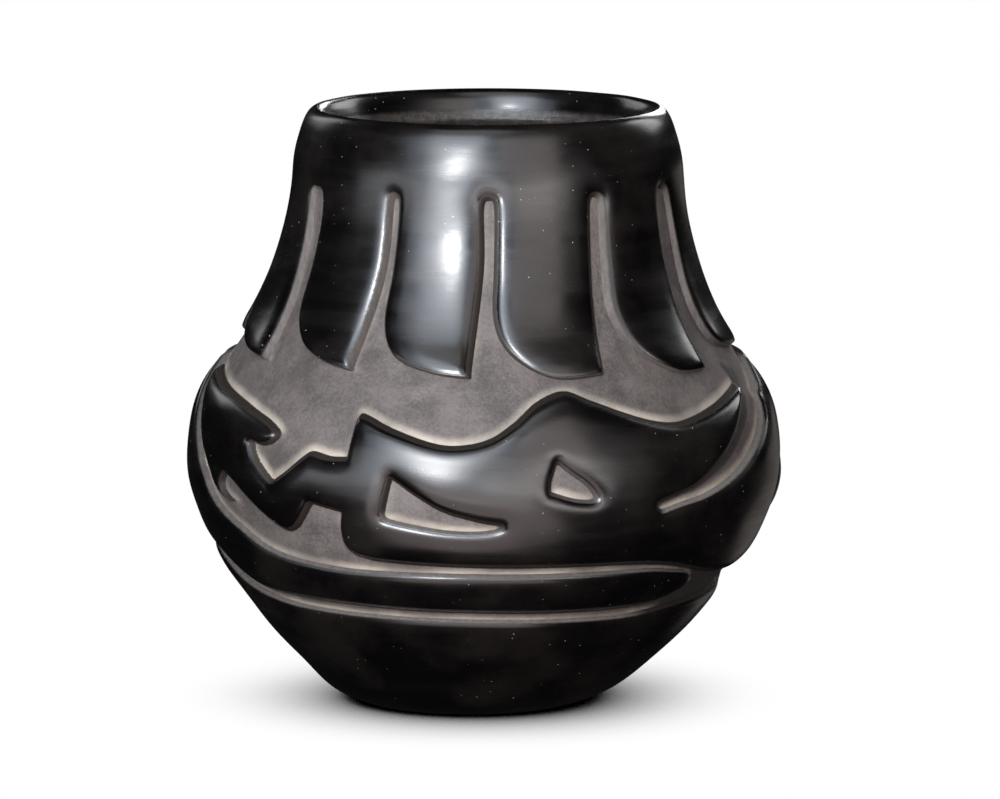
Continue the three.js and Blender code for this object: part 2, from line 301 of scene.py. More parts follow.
@dataclass(frozen=True)
class Carving:
    """The outlines of the carving, unrolled, and how deep it goes."""

    depth: float = 3.2
    groove_depth: float = 2.5
    groove_top: float = 166.6
    frieze_foot: float = 114.0
    shoulder: float = 1.3
    belly_line: float = 79.0
    step: float = 0.15
    groove_angles: tuple[float, ...] = (
        -117.5, -90.0, -60.3, -27.8, 0.7, 33.5, 64.0, 93.8, 123.0, 152.5, 182.0, 212.0,
    )
    # Per feather, a wall is drawn lighter where it faces the key lamp, as painted light, and darker where it
    # faces away, as painted shade.
    front_feathers: tuple[Feather, ...] = (
        Feather(
            ((-115.8, 163.6), (-115.8, 146), (-115.6, 131)),
            ((-110.5, 121.5), (-101, 118.2), (-91.9, 117.6)), ((-91.6, 122), (-91.8, 146), (-91.6, 163.6)),
        ),
        Feather(
            ((-88.2, 163.6), (-88, 146), (-88.4, 131)), ((-84.5, 121), (-72.5, 115.7), (-58.9, 113.9)),
            ((-60.3, 119.5), (-61.2, 146), (-63, 164.2)),
            left_bareness_and_light=0.5, right_bareness_and_light=0.8, right_shoulder=1.3,
        ),
        Feather(
            ((-57.4, 164), (-56.3, 146), (-55.6, 130.6)), ((-49.7, 121.2), (-40.3, 116.1), (-30.9, 114)),
            ((-31.1, 120), (-28.4, 146), (-28.7, 164)), right_bareness_and_light=0.35, right_shoulder=2.0,
        ),
        Feather(
            ((-26.9, 163.6), (-26.6, 146), (-26.6, 130)), ((-22, 119.5), (-12.3, 114.8), (-2.7, 113.2)),
            ((-2.4, 119.5), (-0.4, 146), (-0.8, 164)),
        ),
        Feather(
            ((2.1, 164), (2.25, 146), (2.4, 130.2)), ((6.4, 120.2), (15.9, 113.1), (28.1, 113.3)),
            ((28.9, 118.6), (30.9, 146), (32.1, 164)),
        ),
        Feather(
            ((34.9, 163.6), (34.2, 146), (34, 131)), ((38.8, 119.6), (48.4, 111.9), (59.3, 111.2)),
            ((59.6, 118.5), (59.9, 146), (60.9, 164)), left_bareness_and_light=0.75, left_shoulder=1.7,
        ),
        Feather(
            ((66.9, 163.6), (67.5, 148), (67.1, 133)), ((69.8, 119.6), (77.2, 115.2), (91.7, 113.6)),
            ((91.8, 119), (92, 146), (92.2, 164)), left_bareness_and_light=0.95,
        ),
    )
    # The last number of a cut sets how light its wall is drawn: partly scraped clay, partly painted light
    # where the wall faces the key lamp; below 0 it paints shade on the ground beside the cut.
    serpent: tuple[Cut, ...] = (
        Cut((
            (-87, 29.2), (-80, 27.4), (-71.9, 25.7), (-62, 23.6), (-53.5, 20.8), (-47.5, 18.3),
            (-44.3, 15.3), (-45.6, 12.2), (-48.6, 10.7), (-51.6, 11.2),
        )),
        Cut(((-51.6, 11.2), (-50.1, 7.2), (-47.6, 3.6), (-45.1, 0.8)), 1.2, 0.1),
        Cut(((-45.1, 0.8), (-41.8, 4.2), (-37.6, 9.4), (-35.2, 11.2), (-31.1, 10.2), (-27.4, 10.4))),
        Cut((
            (-27.4, 10.4), (-26.8, 16.7), (-26.2, 22.2), (-24.6, 23.4), (-18, 19.6), (-9.7, 15.8),
            (-4.3, 15.2), (1.4, 17.1), (6.5, 21.8), (11.6, 27.6), (18, 30.5), (24, 27.3), (34.3, 21.5),
            (41.6, 19.1), (47.7, 19.7), (55.6, 22), (63.5, 24.8), (69.6, 26.8),
        ), 1.2),
        # A negative last number paints shade on the ground beside this cut.
        Cut((
            (69.6, 26.8), (68.4, 23.2), (64.8, 18.2), (60.6, 12.6), (56, 7.4), (51, 3.2), (45, -1.4),
            (39.6, -3.8), (36.2, -5.4), (36.9, -7.2),
        ), 1.6, -0.9),
        Cut((
            (36.9, -7.2), (42.1, -5.5), (47.6, -4.2), (54, -1.4), (61, 2.6), (66.4, 6.6), (71, 10.6),
            (75, 15), (76.6, 18.6), (77.4, 22.2), (82.6, 25.6), (89, 33),
        ), 1.1, 1.0),
        # A negative last number paints shade on the ground beside this cut.
        Cut((
            (89, 33), (92.5, 26), (93.5, 14), (91.5, 5.5), (87, 0.2), (83.2, -4), (81.2, -10),
            (80.8, -18), (82, -27), (79.5, -32.4), (71, -33.8), (62, -32.6), (53, -30),
        ), 1.3, -0.9),
        Cut((
            (53, -30), (46.6, -27.8), (39.7, -26.1), (31.6, -24.9), (18, -24.3), (5.6, -24),
            (-6.5, -23.6), (-16, -23.1), (-22.8, -22.5),
        )),
        Cut(((-22.8, -22.5), (-27, -20.8), (-29, -17.4), (-29.3, -12.6), (-28.7, -7.2))),
        Cut(((-28.7, -7.2), (-35.2, -5.4))),
        Cut((
            (-35.2, -5.4), (-37.5, -10.2), (-39.6, -13.6), (-42.6, -15.4), (-46.5, -13.1), (-52.8, -7),
            (-57, -3), (-60.8, -0.4),
        )),
        Cut(((-60.8, -0.4), (-62.2, -3.4), (-61, -6.8), (-57.4, -8.8))),
        Cut((
            (-57.4, -8.8), (-61, -9), (-64.8, -5.9), (-67.9, -0.6), (-72, 5.4), (-75.4, 11.4),
            (-78.6, 16.4), (-83.5, 22), (-87, 29.2),
        )),
    )
    rib: tuple[Cut, ...] = (
        Cut(((-17.7, 4.2), (-18.6, -1.4), (-19.4, -6.7))),
        Cut(((-19.4, -6.7), (-18, -8.3), (-9.1, -10.8), (-2.5, -11.5), (1.9, -10.9), (3.4, -9.9)), 1.0, 0.6),
        Cut(((3.4, -9.9), (-1.1, -8.6), (-7.6, -5.6), (-12.6, -1.2), (-17.7, 4.2))),
    )
    eye: tuple[Cut, ...] = (
        Cut(((14.7, 9.2), (13.5, 4), (13.3, 0.8))),
        Cut((
            (13.3, 0.8), (17.6, -1.5), (20.9, -2.1), (21.7, -1.1), (20, 2.5), (17, 6.2), (14.7, 9.2),
        ), 1.0, 0.4),
    )
    tail: tuple[Cut, ...] = (
        Cut((
            (54.3, -33), (50.8, -29.9), (44.2, -28), (36.9, -26.7), (25, -26.2), (12, -26), (-0.4, -25.7),
            (-12.8, -25.6), (-28, -25.6), (-38, -24.7), (-46, -23.2), (-52, -20.6), (-57.2, -16.9),
            (-62.5, -13.3), (-67.2, -8.6), (-70.7, -2.6), (-73.5, 1.2), (-78, 9.6), (-83.1, 18),
            (-87.5, 25), (-91.5, 33.5),
        ), 1.15, 0.55),
        Cut((
            (-91.5, 33.5), (-94.4, 26), (-93.8, 14), (-95.6, 5.5), (-99.9, 0), (-103.6, -4),
            (-105.6, -10), (-105.4, -16), (-101.5, -21), (-94.5, -23.4), (-88.5, -24.6), (-82, -26.9),
            (-73.9, -29.4), (-69, -32.8), (-64, -36), (-57.9, -38), (-47.7, -38.5), (-31.5, -38.9),
            (-14.3, -39.6), (0, -39.9), (14, -40.4), (29, -40.8), (38, -40.7),
        )),
        # A negative last number paints shade on the ground beside this cut.
        Cut(((38, -40.7), (46.5, -39.3), (52, -36.6), (54.3, -33)), 1.3, -0.7),
    )
    bowl_edge: Cut = Cut((
        (-180, -42.2), (-160, -42.8), (-145, -42.8), (-135, -41.6), (-124, -40.4), (-112, -39),
        (-103, -35), (-95, -29), (-88, -27.6), (-81.9, -31.3), (-76, -35.2), (-69, -38), (-60, -39.9),
        (-50, -40.9), (-38, -41.3), (-26, -41.5), (-14, -41.7), (0, -42), (14, -42.4), (30, -42.9),
        (40, -42.8), (52, -41.7), (62, -41.3), (72, -41.1), (82, -40.9), (92, -40.2), (101, -36.6),
        (108, -35.4), (115, -37), (123, -39.4), (134, -40.8), (155, -41.6), (180, -42.2),
    ), 1.3, 0.7)
    # Painted shade on the ground along the bowl's edge, on the right of each figure where the key lamp only
    # grazes: angles from the figure's middle where it starts and is full, where it fades and ends, and how
    # far it lowers the cut's bareness value.
    painted_shade_starts: Point = (38.0, 52.0)
    painted_shade_ends: Point = (96.0, 104.0)
    painted_shade_depth: float = 1.6
    spline_steps: int = 60

    def frieze(self) -> list[np.ndarray]:
        """The lower edge of the feather frieze all the way round, with a corner at each feather's tip."""
        grooves = self.groove_angles
        repeated = [Feather.between(*pair) for pair in zip(grooves, (*grooves[1:], grooves[0] + FULL_TURN))]
        feathers = [*self.front_feathers, *repeated[len(self.front_feathers) :]]
        before = feathers[-1]
        turn = -FULL_TURN
        strokes = []
        for groove, feather in zip(grooves, feathers):
            top = (groove, self.groove_top, before.right_shoulder, before.right_bareness_and_light)
            strokes.append(np.array([*before.right_edge(turn), top, *feather.left_edge()]))
            before = feather
            turn = 0.0
        return strokes

    def outlines(self) -> list[np.ndarray]:
        """Every outline between polished clay and carved ground, in rows as drawn() gives them."""
        curves = [self.drawn(self.frieze())]
        bowl = self.bowl_edge.laid()
        bowl[:, 1] += self.belly_line
        # Lowers the bowl edge's bareness value on the right of each figure, which paints shade on the ground
        # there.
        for place in Place:
            middle, scale = place.value
            along = ((bowl[:, 0] - middle + FULL_TURN / 2) % FULL_TURN - FULL_TURN / 2) / scale
            painted_shade = smooth_step(along, *self.painted_shade_starts) * (1.0 - smooth_step(along, *self.painted_shade_ends))
            bowl[:, 3] -= painted_shade * self.painted_shade_depth
        curves.append(self.drawn([bowl]))
        for place in Place:
            for figure in (self.serpent, self.rib, self.eye, self.tail):
                curves.append(self.drawn([place.moved(cut.laid(), self.belly_line) for cut in figure]))
        return curves

    def drawn(self, strokes: list[np.ndarray]) -> np.ndarray:
        """Strokes drawn as one line, with points about a step apart.

        Args:
            strokes: the points of splines that meet at corners.

        Returns:
            Points of angle, height, shoulder and bareness, one a row.
        """
        lines = []
        for stroke in strokes:
            curve = spline_through(stroke, self.spline_steps)
            width = np.diff(curve[:, 0]) * math.radians(1.0) * MEAN_RADIUS
            run = np.concatenate([[0.0], np.cumsum(np.hypot(width, np.diff(curve[:, 1])))])
            count = max(2, int(run[-1] / self.step))
            at = np.linspace(0.0, run[-1], count)
            lines.append(np.column_stack([np.interp(at, run, column) for column in curve.T])[:-1])
        return np.vstack([*lines, strokes[-1][-1:]])


@dataclass
class Courses:
    """The base slab and the coils laid on it, by name, from the bottom to the rim."""

    slab_height: float = 16.0
    names: tuple[str, ...] = (
        "base_slab", "bowl_coil_lower", "bowl_coil_upper", "belly_coil_lower", "belly_coil_upper",
        "shoulder_coil_lower", "shoulder_coil_upper", "neck_coil_lower", "neck_coil_upper", "rim_coil",
    )

    def seams(self, height: float) -> np.ndarray:
        """Heights of the seams between the courses."""
        coils = len(self.names) - 1
        return self.slab_height + (height - self.slab_height) / coils * np.arange(coils)


@dataclass(frozen=True)
class Waves:
    """Soft waves of hand-worked clay: the longest, how many lie over one another, their height and seed."""

    longest: float
    count: int
    height: float
    seed: int

    def laid(self, angle: np.ndarray, level: np.ndarray) -> np.ndarray:
        """The waves at angles and heights on the jar, where they meet themselves after a full turn."""
        draw = np.random.default_rng(self.seed)
        turn = np.radians(angle)
        total = np.zeros_like(level)
        for _ in range(self.count):
            length = self.longest * draw.uniform(0.45, 1.0)
            lean = draw.uniform(-math.pi, math.pi)
            around = round(2 * math.pi * MEAN_RADIUS / length * math.cos(lean))
            upward = 2 * math.pi / length * math.sin(lean)
            total += np.sin(around * turn + upward * level + draw.uniform(0, 2 * math.pi))
        return total / math.sqrt(self.count / 2) / 2 * self.height


@dataclass
class JarSurface:
    """The whole surface of the jar as rows round the wheel, carved and finished.

    A pair of numbers says where something starts and where it is full, in millimetres, and for exact_above
    in widths of the shoulder.
    """

    profile: JarProfile = field(default_factory=JarProfile)
    carving: Carving = field(default_factory=Carving)
    courses: Courses = field(default_factory=Courses)
    columns: int = 1080
    skin_step: float = 0.5
    inner_step: float = 3.0
    under_step: float = 4.0
    pole_radius: float = 1.0
    lip_end: float = 177.5
    lining_levels: Point = (184.2, 182.0)
    far: float = 14.0
    least_rise: float = 0.3
    least_tilt: float = 0.5
    least_gap: float = 0.05
    # These weights make the painted-light part of the cream rim: ground that lies above a figure counts
    # most, ground with a figure to its west a little.
    below_weight: float = 0.9
    west_weight: float = 0.12
    ground_waves: Waves = Waves(15.0, 14, 0.16, 7)
    swells: Waves = Waves(46.0, 12, 0.13, 8)
    wavy_ground: Point = (0.2, 2.5)
    softened_skin: Point = (1.6, 3.2)
    swelling_wall: Point = (2.0, 20.0)
    shoulder_passes: int = 8
    bare_passes: int = 6
    depth_passes: int = 24
    blur_passes: int = 3
    exact_above: Point = (-4.0, -2.4)
    exact_below: Point = (0.5, 1.3)

    def make(self) -> None:
        """Lays out the rows, carves them, works out the normals and marks the hollow."""
        self.lay_rows()
        self.measure()
        self.carve()
        self.find_normals()
        self.line_hollow()

    def lay_rows(self) -> None:
        """Spaces the rows along the profile so that every seam of the courses falls on a row."""
        skin = self.profile.skin()
        hollow = self.profile.hollow()
        seams = self.courses.seams(self.profile.height)
        rows: list[np.ndarray] = []
        parts: list[Part] = []
        self.outer_seams: list[int] = []
        self.inner_seams: list[int] = []

        def run_of(curve: np.ndarray) -> np.ndarray:
            steps = np.linalg.norm(np.diff(curve, axis=0), axis=1)
            return np.concatenate([[0.0], np.cumsum(steps)])

        def lay(curve: np.ndarray, start: float, stop: float, step: float, part: Part) -> None:
            run = run_of(curve)
            count = max(1, round((stop - start) / step))
            for at in np.linspace(start, stop, count, endpoint=False):
                rows.append(np.array([np.interp(at, run, curve[:, i]) for i in (0, 1)]))
                parts.append(part)

        under = np.array([[self.pole_radius, 0.0], skin[0]])
        lay(under, 0.0, run_of(under)[-1], self.under_step, Part.UNDER)
        skin_run = run_of(skin)
        marks = np.interp(seams, skin[:, 1], skin_run)
        for start, stop in zip([0.0, *marks], [*marks, skin_run[-1]]):
            lay(skin, start, stop, self.skin_step, Part.OUTSIDE)
            self.outer_seams.append(len(rows))
        self.outer_seams.pop()
        hollow_run = run_of(hollow)
        lip_end = np.interp(-self.lip_end, -hollow[:, 1], hollow_run)
        inner_marks = np.interp(-seams[::-1], -hollow[:, 1], hollow_run)
        lay(hollow, 0.0, lip_end, self.skin_step, Part.LIP)
        lay(hollow, lip_end, inner_marks[0], self.inner_step, Part.INSIDE)
        for start, stop in zip(inner_marks, [*inner_marks[1:], hollow_run[-1] - self.pole_radius]):
            self.inner_seams.append(len(rows))
            lay(hollow, start, stop, self.inner_step, Part.INSIDE)
        rows.append(np.array([self.pole_radius, self.profile.floor]))
        parts.append(Part.INSIDE)
        self.inner_seams.reverse()
        self.rows = np.array(rows)
        self.part = np.array([part.value for part in parts])
        along = np.gradient(self.rows, axis=0)
        along /= np.linalg.norm(along, axis=1)[:, None]
        self.rise = along[:, 1]

    def measure(self) -> None:
        """Measures how far every point of the skin is from the nearest outline, and on which side."""
        angle = np.arange(self.columns) * FULL_TURN / self.columns
        self.angle = np.tile(angle, (len(self.rows), 1))
        self.level = np.tile(self.rows[:, 1:], (1, self.columns))
        self.radius = np.tile(self.rows[:, :1], (1, self.columns))
        self.cut = np.full_like(self.level, -self.far)
        self.shoulder = np.full_like(self.level, self.carving.shoulder)
        self.below = np.zeros_like(self.level)
        self.bareness_and_light = np.zeros_like(self.level)
        curves = self.carving.outlines()
        dots = np.vstack(curves)
        skin = self.profile.skin()
        dot_radius = np.interp(dots[:, 1], skin[:, 1], skin[:, 0])
        turn = np.radians(dots[:, 0])
        spots = np.column_stack([dot_radius * np.sin(turn), -dot_radius * np.cos(turn), dots[:, 1]])
        tree = kdtree.KDTree(len(spots))
        for index, spot in enumerate(spots.tolist()):
            tree.insert(spot, index)
        tree.balance()
        heights = self.rows[:, 1]
        near = (heights > dots[:, 1].min() - self.far) & (heights < dots[:, 1].max() + self.far)
        carved = np.flatnonzero(near & (self.part == Part.OUTSIDE.value))
        ground = self.is_ground(curves, angle)
        half_turn = math.radians(FULL_TURN / self.columns) / 2
        for row in carved:
            radius, level = self.rows[row]
            half_width = radius * half_turn
            half_height = np.linalg.norm(self.rows[row + 1] - self.rows[row - 1]) / 4
            rise = max(self.rise[row], self.least_rise)
            for column in range(self.columns):
                turned = math.radians(angle[column])
                here = (radius * math.sin(turned), -radius * math.cos(turned), level)
                _, nearest, gap = tree.find(here)
                sideways = (dots[nearest, 0] - angle[column] + FULL_TURN / 2) % FULL_TURN - FULL_TURN / 2
                east = radius * math.radians(sideways)
                north = (dots[nearest, 1] - level) / rise
                side = 1.0 if ground[row, column] else -1.0
                self.cut[row, column] = side * min(gap, self.far)
                self.shoulder[row, column], self.bareness_and_light[row, column] = dots[nearest, 2:]
                toward = side / max(math.hypot(east, north), self.least_gap)
                # Painted-light part of the cream rim: ground above a figure, and a little ground with a
                # figure to its west.
                below = max(0.0, -north * toward) * self.below_weight
                self.below[row, column] = below + max(0.0, -east * toward) * self.west_weight
                if abs(east) < half_width and abs(north) < half_height:
                    self.angle[row, column] = angle[column] + sideways
                    self.level[row, column] = dots[nearest, 1]
                    self.radius[row, column] = dot_radius[nearest]
                    self.cut[row, column] = 0.0

    def is_ground(self, curves: list[np.ndarray], angle: np.ndarray) -> np.ndarray:
        """Tells carved ground from polished clay: going up, each outline changes the one to the other.

        Args:
            curves: every outline, as points of angle and height.
            angle: the angle of each column.

        Returns:
            True for each row and column on carved ground.
        """
        starts = np.vstack([curve[:-1] for curve in curves])
        ends = np.vstack([curve[1:] for curve in curves])
        ground = np.zeros((len(self.rows), self.columns), bool)
        outside = self.part == Part.OUTSIDE.value
        nudge = 1e-4
        for column, at in enumerate(angle + nudge):
            crossings = []
            for turn in (at - FULL_TURN, at, at + FULL_TURN):
                hit = (starts[:, 0] <= turn) != (ends[:, 0] <= turn)
                share = (turn - starts[hit, 0]) / (ends[hit, 0] - starts[hit, 0])
                crossings.append(starts[hit, 1] + share * (ends[hit, 1] - starts[hit, 1]))
            heights = np.sort(np.concatenate(crossings))
            ground[:, column] = (np.searchsorted(heights, self.rows[:, 1]) % 2 == 1) & outside
        return ground

    def soften(self, values: np.ndarray, share: np.ndarray, times: int) -> np.ndarray:
        """Averages each point with its neighbours.

        Args:
            values: a value for each row and column.
            share: from 0, left as it is, to 1, the neighbours' average.
            times: how often.

        Returns:
            The softened values.
        """
        soft = values.copy()
        for _ in range(times):
            sides = np.roll(soft, 1, axis=1) + np.roll(soft, -1, axis=1)
            above = np.vstack([soft[1:], soft[-1:]]) + np.vstack([soft[:1], soft[:-1]])
            soft += share * ((sides + above) / 4 - soft)
        return soft

    def carve(self) -> None:
        """Sinks the ground, rounds the polished edges over it and lays every point in its place."""
        carving = self.carving
        share = smooth_step(self.level, carving.frieze_foot, carving.groove_top)
        full = carving.depth + (carving.groove_depth - carving.depth) * share
        near = smooth_step(-self.cut, 0.0, 1.0)
        self.shoulder = self.soften(self.shoulder, near, self.shoulder_passes)
        self.bareness_and_light = self.soften(self.bareness_and_light, np.ones_like(near), self.bare_passes)
        inside = np.minimum(self.cut, 0.0)
        edge = full * np.exp(inside / self.shoulder)
        edge -= full * np.exp(-self.far / self.shoulder)
        self.wall = np.where(self.cut < 0.0, inside / self.shoulder, self.cut)
        wavy = self.ground_waves.laid(self.angle, self.level)
        ground = full + wavy * smooth_step(self.cut, *self.wavy_ground)
        depth = np.where(self.cut < 0.0, edge, ground)
        depth = self.soften(depth, smooth_step(-self.cut, *self.softened_skin), self.depth_passes)
        swell = self.swells.laid(self.angle, self.level) * smooth_step(self.level, *self.swelling_wall)
        self.below = self.soften(self.below, np.ones_like(near), self.blur_passes)
        slope = full / self.shoulder * np.exp(inside / self.shoulder)
        self.steepness = np.where(self.cut <= 0.0, slope, 0.0)
        self.points = self.placed(depth + swell)
        self.uncarved = self.placed(swell)

    def placed(self, depth: np.ndarray) -> np.ndarray:
        """Every point in its place, in metres, with the outer skin sunk by a depth in millimetres."""
        outside = np.isin(self.part, (Part.OUTSIDE.value, Part.LIP.value))[:, None]
        tilt = np.maximum(self.rise, self.least_tilt)[:, None]
        radius = self.radius - np.where(outside, depth / tilt, 0.0)
        turn = np.radians(self.angle)
        return np.stack([
            radius * np.sin(turn) + self.profile.lean(self.level),
            -radius * np.cos(turn),
            self.level,
        ], axis=-1) * MM

    @staticmethod
    def unit(vectors: np.ndarray) -> np.ndarray:
        """Vectors brought to a length of 1."""
        return vectors / np.maximum(np.linalg.norm(vectors, axis=-1, keepdims=True), 1e-12)

    @staticmethod
    def steps(values: np.ndarray) -> tuple[np.ndarray, np.ndarray]:
        """How values change from one neighbour to the other, round the jar and up it."""
        return np.roll(values, -1, axis=1) - np.roll(values, 1, axis=1), np.gradient(values, axis=0) * 2.0

    def toward_ground(self) -> np.ndarray:
        """For each point, the unit vector along the surface that leads straight to the ground."""
        around, upward = self.steps(self.uncarved / MM)
        cut_around, cut_upward = self.steps(self.cut)
        wide = (around * around).sum(axis=-1)
        high = (upward * upward).sum(axis=-1)
        skew = (around * upward).sum(axis=-1)
        area = np.maximum(wide * high - skew * skew, 1e-9)
        east = (high * cut_around - skew * cut_upward) / area
        north = (wide * cut_upward - skew * cut_around) / area
        lead = east[..., None] * around + north[..., None] * upward
        whole = np.ones_like(self.cut)
        soft = [self.soften(lead[..., axis], whole, self.blur_passes) for axis in range(3)]
        return self.unit(np.stack(soft, axis=-1))

    def find_normals(self) -> None:
        """Works out the normals: exact ones beside each cut, and elsewhere from the neighbours of a point.

        Neighbours are the same on both sides of a seam between courses, so no seam shows.
        """
        shaped = self.unit(np.cross(*self.steps(self.points)))
        flat = self.unit(np.cross(*self.steps(self.uncarved)))
        leaning = self.unit(flat + self.steepness[..., None] * self.toward_ground())
        above = smooth_step(self.wall, *self.exact_above)
        exact = np.where(self.cut <= 0.0, above, 1.0 - smooth_step(self.cut, *self.exact_below))
        beside = np.where(self.cut[..., None] <= 0.0, leaning, flat)
        self.normals = self.unit(shaped + exact[..., None] * (beside - shaped))
        self.foot_normals = flat

    def line_hollow(self) -> None:
        """Marks the hollow: from 0 on the polished lip to 1 on its rough wall."""
        lined = np.isin(self.part, (Part.LIP.value, Part.INSIDE.value))[:, None]
        self.lining = np.where(lined, smooth_step(self.level, *self.lining_levels), 0.0)


@dataclass
class CourseMesh:
    """One course of the wall: a ring turned on the wheel, subdivided and carved to the jar's surface."""

    name: str
    surface: JarSurface
    spin_steps: int = 90

    def chain(self) -> tuple[list[int], bool]:
        """The rows of this course in order round its section, and whether they close into a loop."""
        surface = self.surface
        names = surface.courses.names
        index = names.index(self.name)
        outer = [0, *surface.outer_seams]
        inner = [len(surface.rows) - 1, *surface.inner_seams]
        if index == len(names) - 1:
            return [*range(outer[index], inner[index] + 1)], True
        skin = range(outer[index], outer[index + 1] + 1)
        lining = range(inner[index + 1], inner[index] + 1)
        return [*skin, *lining], index > 0

    def turned(self) -> bmesh.types.BMesh:
        """Turns the section on the wheel in a few steps and subdivides the rings."""
        rows, closed = self.chain()
        mesh = bmesh.new()
        row_layer = mesh.verts.layers.float.new("row")
        verts = []
        for row in rows:
            radius, level = self.surface.rows[row] * MM
            vert = mesh.verts.new((0.0, -radius, level))
            vert[row_layer] = row
            verts.append(vert)
        pairs = list(zip(verts, verts[1:]))
        if closed:
            pairs.append((verts[-1], verts[0]))
        edges = [mesh.edges.new(pair) for pair in pairs]
        bmesh.ops.spin(
            mesh, geom=verts + edges, cent=(0, 0, 0), axis=(0, 0, 1), angle=2 * math.pi,
            steps=self.spin_steps, use_merge=True,
        )
        rings = [edge for edge in mesh.edges if edge.verts[0][row_layer] == edge.verts[1][row_layer]]
        cuts = self.surface.columns // self.spin_steps - 1
        bmesh.ops.subdivide_edges(mesh, edges=rings, cuts=cuts, use_grid_fill=True)
        if not closed:
            self.close_poles(mesh, (rows[0], rows[-1]), row_layer)
        bmesh.ops.recalc_face_normals(mesh, faces=mesh.faces[:])
        return mesh

    @staticmethod
    def close_poles(mesh: bmesh.types.BMesh, rows: tuple[int, int], layer: object) -> None:
        """Draws the first and last ring together on the axis."""
        for row in rows:
            ring = [vert for vert in mesh.verts if round(vert[layer]) == row]
            bmesh.ops.pointmerge(mesh, verts=ring, merge_co=(0.0, 0.0, ring[0].co.z))

    def build(self) -> bpy.types.Object:
        """Makes the course's object, its points in place and what its finish needs as attributes."""
        data = meshed(self.name, self.turned())
        surface = self.surface
        row = np.rint(self.read(data.attributes["row"].data, "value", np.float32)).astype(int)
        place = self.read(data.vertices, "co", np.float32, 3).reshape(-1, 3)
        turn = np.degrees(np.arctan2(place[:, 0], -place[:, 1]))
        column = np.rint(turn / FULL_TURN * surface.columns).astype(int) % surface.columns
        points = surface.points[row, column]
        pole = np.hypot(place[:, 0], place[:, 1]) < surface.pole_radius * MM / 2
        points[pole, 0] = surface.profile.lean(place[pole, 2] / MM) * MM
        points[pole, 1] = 0.0
        data.vertices.foreach_set("co", points.astype(np.float32).ravel())
        data.attributes.remove(data.attributes["row"])
        for name in ("cut", "below", "wall", "bareness_and_light", "lining"):
            layer = data.attributes.new(name, "FLOAT", "POINT")
            layer.data.foreach_set("value", getattr(surface, name)[row, column].astype(np.float32))
        self.shade(data, row, column)
        return added(f"{self.name}_clay", data)

    @staticmethod
    def read(items: bpy.types.bpy_prop_collection, name: str, kind: type, width: int = 1) -> np.ndarray:
        """A value of every item of a mesh, in one array."""
        values = np.empty(len(items) * width, kind)
        items.foreach_get(name, values)
        return values

    def shade(self, data: bpy.types.Mesh, row: np.ndarray, column: np.ndarray) -> None:
        """Gives the mesh the jar's own normals, by the row and column of each point. Seams stay flat."""
        data.polygons.foreach_set("use_smooth", np.ones(len(data.polygons), bool))
        data.update()
        corners = self.read(data.loops, "vertex_index", np.int32)
        normals = self.surface.normals[row, column][corners]
        starts = self.read(data.polygons, "loop_start", np.int32)
        totals = self.read(data.polygons, "loop_total", np.int32)
        flat = self.read(data.polygons, "normal", np.float32, 3).reshape(-1, 3)
        corner_row = row[corners]
        spread = np.maximum.reduceat(corner_row, starts) - np.minimum.reduceat(corner_row, starts)
        corner_cut = self.surface.cut[row, column][corners]
        on_ground = np.repeat(np.add.reduceat(corner_cut, starts) > 0.0, totals)
        foot = on_ground & (np.abs(corner_cut) < 1e-6)
        normals[foot] = self.surface.foot_normals[row, column][corners][foot]
        across = np.repeat(spread > 1, totals)
        normals[across] = np.repeat(flat, totals, axis=0)[across]
        data.normals_split_custom_set(normals.tolist())


